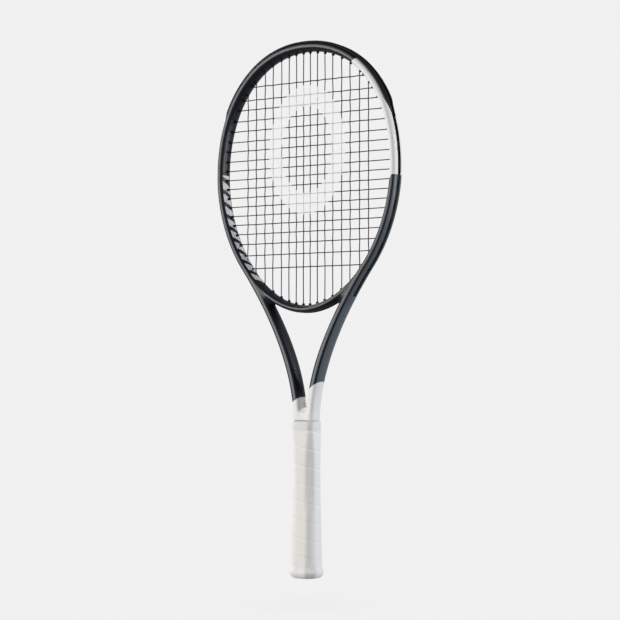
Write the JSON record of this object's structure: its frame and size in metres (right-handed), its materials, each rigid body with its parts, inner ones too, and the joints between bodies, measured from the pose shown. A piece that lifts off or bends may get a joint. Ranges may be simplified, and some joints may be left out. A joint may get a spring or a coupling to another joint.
{
  "type": "tennis racket",
  "caption": "Strung tennis racket with an oval hoop, open throat, two curved shafts and a wrapped eight-sided handle.",
  "frame": {"origin": "centre of the butt cap's underside, at the foot of the handle", "axes": "+Z along the racket from butt to crown, +X across the face, +Y through the face towards the back"},
  "size_m": [0.2706, 0.039, 0.685],
  "materials": {
    "carbon": "satin painted carbon fibre",
    "black_nylon": "moulded nylon",
    "string": "polyester monofilament",
    "foam": "rigid polyurethane foam",
    "cap_plastic": "moulded nylon",
    "grip_white": "synthetic leather",
    "rubber_grey": "moulded",
    "steel": "wire",
    "tape": "adhesive tape"
  },
  "bodies": {
    "racket": {"frame_hairpin": "carbon", "throat_bridge": "carbon", "bumper_guard": "black_nylon", "grommet_strip_left": "black_nylon", "grommet_strip_right": "black_nylon", "grommet_strip_throat": "black_nylon", "main_string": "string", "cross_string": "string", "pallet_front": "foam", "pallet_back": "foam", "grip_wrap": "grip_white", "butt_cap": "cap_plastic", "cap_staple_left": "steel", "cap_staple_right": "steel", "finishing_tape": "tape", "grip_collar": "rubber_grey"},
    "trap_door": {"butt_cap_door": "cap_plastic"}
  },
  "joints": [
    {"name": "trap_door_pull", "type": "slide", "parent": "racket", "child": "trap_door", "axis": [0, 0, -1], "range_m": [0, 0.02]}
  ]
}
